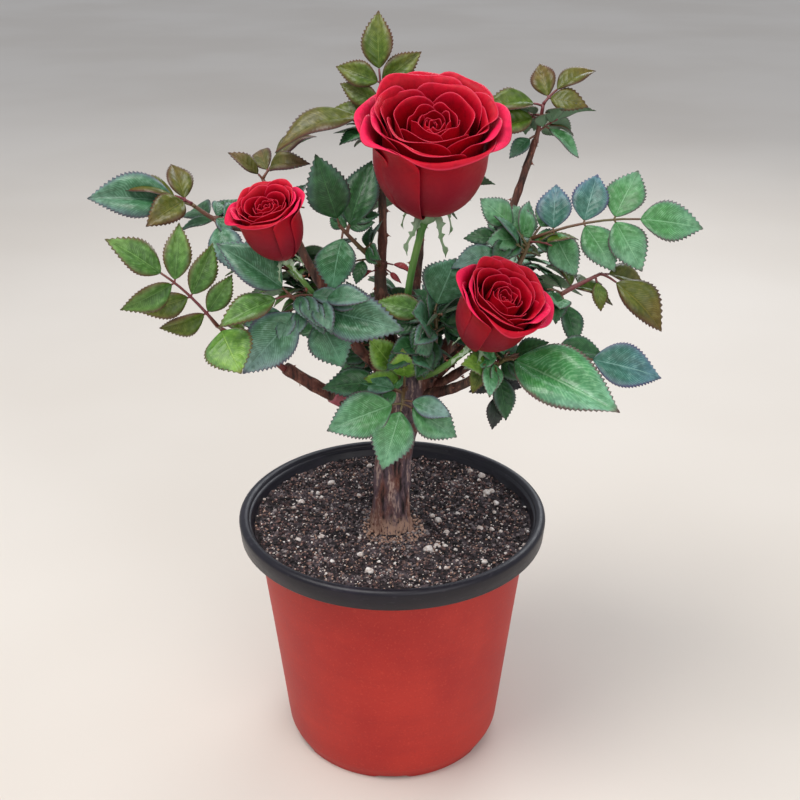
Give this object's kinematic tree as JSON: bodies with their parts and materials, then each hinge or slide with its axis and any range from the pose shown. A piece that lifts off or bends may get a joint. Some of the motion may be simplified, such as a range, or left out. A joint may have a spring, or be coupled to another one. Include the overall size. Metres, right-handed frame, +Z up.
{
  "type": "potted rose bush",
  "caption": "Small rose bush with a woody trunk, forking canes, open red blooms and toothed compound leaves, standing in a black-rimmed red nursery pot filled with soil.",
  "frame": {"origin": "centre of the pot's foot, on the surface it stands on, under the middle of the whole part", "axes": "+Z up along the pot's axis; -Y towards the side the picture shows; +X to that view's right"},
  "size_m": [0.2802, 0.1705, 0.3783],
  "materials": {
    "pot_red": "matte, faintly streaked",
    "pot_black": "satin black",
    "soil": "moist dark crumbs with pale bits",
    "bark": "rough furrowed bark",
    "cane": "smooth reddish-brown bark",
    "stalk": "smooth green shoot",
    "petals": "velvety crimson",
    "foliage": "satin leaf green"
  },
  "bodies": {
    "root": {"pot_wall": "pot_red", "pot_rim": "pot_black", "soil": "soil", "trunk": "bark", "cane_leader": "cane", "cane_leader_top": "cane", "cane_left_low": "cane", "cane_left_front": "cane", "cane_left_high": "cane", "cane_left_far": "cane", "cane_right_high": "cane", "cane_right_top": "cane", "cane_right_mid": "cane", "cane_right_low": "cane", "cane_front_right": "cane", "cane_back_left": "cane", "cane_back": "cane", "cane_back_right": "cane", "cane_back_low": "cane", "stalk_large": "stalk", "stalk_left": "stalk", "stalk_right": "stalk", "bloom_large": "petals", "bloom_left": "petals", "bloom_right": "petals", "leaves_front": "foliage", "leaves_left_low": "foliage", "leaves_left_front": "foliage", "leaves_left_high": "foliage", "leaves_left_far": "foliage", "leaves_centre_left": "foliage", "leaves_top_left": "foliage", "leaves_right_top": "foliage", "leaves_right": "foliage", "leaves_right_far": "foliage", "leaves_front_right": "foliage", "leaves_centre": "foliage", "leaves_heart_left": "foliage", "leaves_heart_right": "foliage", "leaves_back_left": "foliage", "leaves_back": "foliage", "leaves_back_right": "foliage", "leaves_back_low": "foliage"}
  },
  "joints": []
}
